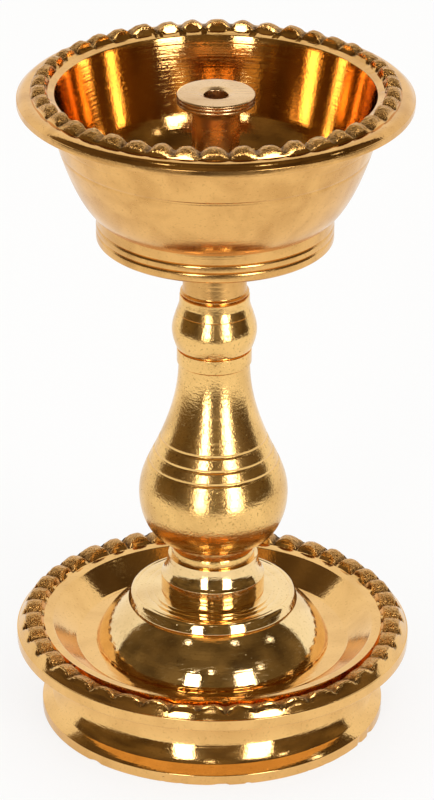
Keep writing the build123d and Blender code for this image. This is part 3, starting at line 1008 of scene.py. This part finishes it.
@dataclass
class Studio:
    """Camera at the photograph's place, pale table, white surround and two tall soft lights."""

    camera_place: tuple[float, float, float] = (0.5, -675.5, 374.4)
    camera_pitch: float = 25.19
    camera_roll: float = 0.4
    lens: float = 203.36
    table_front: float = -230.0
    table_back: float = 2200.0
    table_half_width: float = 320.0
    table_gap: float = 0.02
    light_distance: float = 1300.0
    light_low: float = -120.0
    light_high: float = 880.0
    ceiling_light_size: float = 190.0
    ceiling_light_power: float = 0.3
    room_radius: float = 2600.0
    ceiling_lights: tuple[tuple[float, float, float], ...] = (
        (-0.295, -0.198, 0.935), (0.277, -0.203, 0.935), (0.665, 0.038, 0.745),
        (-0.015, -0.779, 0.627), (0.681, -0.49, 0.544))

    def build(self) -> None:
        """Builds the camera, the table, the dim room behind the camera and the lights."""
        self.camera()
        self.surround()
        self.table()
        self.room()
        self.soft_light("left_light", azimuth=-19.5, width=300.0, power=7.5)
        self.soft_light("right_light", azimuth=33.5, width=400.0, power=10.0)
        for number, towards in enumerate(self.ceiling_lights):
            self.ceiling_light(f"ceiling_light_{number}", Vector(towards))
        bpy.context.scene.view_settings.view_transform = "Standard"

    def camera(self) -> None:
        """Stands the camera where the photograph was taken from."""
        data = bpy.data.cameras.new("photo_camera")
        data.lens = self.lens
        camera = bpy.data.objects.new("photo_camera", data)
        camera.location = Vector(self.camera_place) * MM
        camera.rotation_euler = (math.radians(90 - self.camera_pitch), 0, 0)
        camera.rotation_euler.rotate_axis("Z", math.radians(self.camera_roll))
        bpy.context.scene.collection.objects.link(camera)
        bpy.context.scene.camera = camera

    def surround(self) -> None:
        """Makes the world white to the camera and in reflections, and soft light elsewhere."""
        world = bpy.data.worlds.new("white_surround")
        bpy.context.scene.world = world
        world.use_nodes = True
        tree = world.node_tree
        rays = add_node(tree, "LightPath")
        shown = add_node(tree, "Math", {0: rays.outputs["Is Camera Ray"], 1: rays.outputs["Is Glossy Ray"]},
                         operation="MAXIMUM").outputs[0]
        shown = add_node(tree, "Math", {0: shown, 1: rays.outputs["Is Transmission Ray"]},
                         operation="MAXIMUM").outputs[0]
        strength = add_node(tree, "MapRange", {"Value": shown, "To Min": 1.1, "To Max": 1.0}).outputs[0]
        background = tree.nodes["Background"]
        background.inputs["Color"].default_value = linear("#FFFFFF")
        tree.links.new(strength, background.inputs["Strength"])

    def table(self) -> None:
        """Lays the pale table top, which keeps the lamp's shadow."""
        bpy.ops.object.select_all(action="DESELECT")
        bpy.ops.mesh.primitive_plane_add(size=1.0)
        top = bpy.context.active_object
        top.name = top.data.name = "table_top"
        depth = self.table_back - self.table_front
        bpy.ops.object.mode_set(mode="EDIT")
        bpy.ops.mesh.select_all(action="SELECT")
        bpy.ops.transform.resize(value=(2 * self.table_half_width * MM, depth * MM, 1))
        middle = self.table_front + depth / 2
        bpy.ops.transform.translate(value=(0, middle * MM, -self.table_gap * MM))
        bpy.ops.object.mode_set(mode="OBJECT")
        made = bpy.data.materials.new("white_paper")
        made.use_nodes = True
        tree = made.node_tree
        paper = tree.nodes["Principled BSDF"]
        paper.inputs["Base Color"].default_value = linear("#E2E0DC")
        paper.inputs["Roughness"].default_value = 0.9
        rays = add_node(tree, "LightPath")
        mirrored = add_node(tree, "Math", {0: rays.outputs["Is Glossy Ray"], 1: 0.45},
                            operation="MULTIPLY").outputs[0]
        share = add_node(tree, "Math", {0: rays.outputs["Is Camera Ray"], 1: 0.78, 2: mirrored},
                         operation="MULTIPLY_ADD").outputs[0]
        glow = add_node(tree, "Emission", {"Color": linear("#FFFFFF"), "Strength": 1.0}).outputs[0]
        mixed = add_node(tree, "MixShader", {0: share, 1: paper.outputs[0], 2: glow}).outputs[0]
        tree.links.new(mixed, tree.nodes["Material Output"].inputs["Surface"])
        top.data.materials.append(made)

    def room(self) -> None:
        """Curves a dim room round the front, which the brass mirrors and the camera doesn't see."""
        bpy.ops.object.select_all(action="DESELECT")
        bpy.ops.mesh.primitive_uv_sphere_add(segments=64, ring_count=32, radius=self.room_radius * MM)
        room = bpy.context.active_object
        room.name = room.data.name = "dim_room"
        bpy.ops.object.mode_set(mode="EDIT")
        bpy.ops.mesh.select_all(action="SELECT")
        bpy.ops.mesh.bisect(plane_co=(0, 0.25 * self.room_radius * MM, 0), plane_no=(0, 1, -0.25),
                            clear_outer=True)
        bpy.ops.object.mode_set(mode="OBJECT")
        made = bpy.data.materials.new("dim_room_wall")
        made.use_nodes = True
        tree = made.node_tree
        tree.nodes.remove(tree.nodes["Principled BSDF"])
        spot = add_node(tree, "TexCoord").outputs["Object"]
        clutter = add_node(tree, "TexNoise", {"Vector": spot, "Scale": 0.9, "Detail": 2.0}).outputs["Fac"]
        shade = add_node(tree, "MapRange", {"Value": clutter, "From Min": 0.35, "From Max": 0.7}).outputs[0]
        colour = add_node(tree, "Mix", {0: shade, 6: linear("#433523"), 7: linear("#7B6747")},
                          data_type="RGBA").outputs[2]
        glow = add_node(tree, "Emission", {"Color": colour, "Strength": 1.0}).outputs[0]
        tree.links.new(glow, tree.nodes["Material Output"].inputs["Surface"])
        room.data.materials.append(made)
        room.visible_camera = False
        room.visible_diffuse = False
        room.visible_shadow = False

    def soft_light(self, name: str, azimuth: float, width: float, power: float) -> None:
        """Stands a tall soft light beside the camera.

        Args:
            name: Name of the light.
            azimuth: Degrees to the right of the camera, seen from the lamp.
            width: Width of the light.
            power: Power of the light in watts.
        """
        data = bpy.data.lights.new(name, "AREA")
        data.shape = "RECTANGLE"
        data.size = width * MM
        data.size_y = (self.light_high - self.light_low) * MM
        data.energy = power
        light = bpy.data.objects.new(name, data)
        turn = math.radians(azimuth)
        light.location = Vector((math.sin(turn) * self.light_distance, -math.cos(turn) * self.light_distance,
                                 (self.light_low + self.light_high) / 2)) * MM
        light.rotation_euler = (math.radians(90), 0, turn)
        light.visible_camera = False
        bpy.context.scene.collection.objects.link(light)

    def ceiling_light(self, name: str, towards: Vector) -> None:
        """Hangs one small round light in the dim room.

        Args:
            name: Name of the light.
            towards: Direction of the light, seen from the lamp.
        """
        data = bpy.data.lights.new(name, "AREA")
        data.shape = "DISK"
        data.size = self.ceiling_light_size * MM
        data.energy = self.ceiling_light_power
        light = bpy.data.objects.new(name, data)
        light.location = towards.normalized() * (self.room_radius - 200.0) * MM
        light.rotation_euler = towards.to_track_quat("Z", "Y").to_euler()
        light.visible_camera = False
        bpy.context.scene.collection.objects.link(light)


def main() -> None:
    """Builds the lamp from its foot up, then the studio."""
    logging.basicConfig(level=logging.INFO, format="%(name)s: %(message)s")
    bowl_brass = BrassFinish("bowl_brass_cast", metal="#E6B36C", tarnish="#AE7A3C", has_cast_skin=True,
                             roughness=0.18, haze=0.08, tarnish_amount=0.4, tarnish_size=5.0,
                             polish_roughness=0.085).material()
    tray_brass = BrassFinish("tray_brass_cast", metal="#EFBF78", has_cast_skin=True,
                             roughness=0.085).material()
    polished = BrassFinish("polished_turned_brass", metal="#F8D79C", roughness=0.075,
                           scratch_strength=0.12).material()
    satin = BrassFinish("satin_turned_brass", metal="#F3C67C", tarnish="#B28544", roughness=0.18, haze=0.08,
                        grain_strength=0.42, speck_amount=0.75, tarnish_amount=0.4,
                        pit_spacing=2.0).material()
    holder = BrassFinish("holder_turned_brass", metal="#EBC592", roughness=0.24, haze=0.08,
                         scratch_strength=0.15).material()
    thread_brass = BrassFinish("die_cut_brass", metal="#D2A863", roughness=0.3).material()
    steel = SteelFinish("zinc_plated_steel").material()
    Base().build(tray_brass, polished)
    Stem().build(satin)
    ButterBowl().build(bowl_brass, holder)
    ThreadedStud("tie_stud", Body.STEM_SCREW, Slot.STEEL, 8.0, 1.25, 2.6, 36.1).build(steel)
    ThreadedStud("bowl_stud", Body.BOWL_SCREW, Slot.THREAD, 6.0, 1.0, 55.9, 82.0).build(thread_brass)
    ThreadedStud("pillar_stud", Body.PILLAR_SCREW, Slot.THREAD, 5.0, 0.8, 86.6, 95.4).build(thread_brass)
    for node in ("base_washer", "base_nut"):
        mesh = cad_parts[node].data
        mesh.materials.clear()
        mesh.materials.append(steel)
        LOG.info("%s keeps its frame mesh", node)
    Studio().build()


if __name__ == "__main__":
    main()
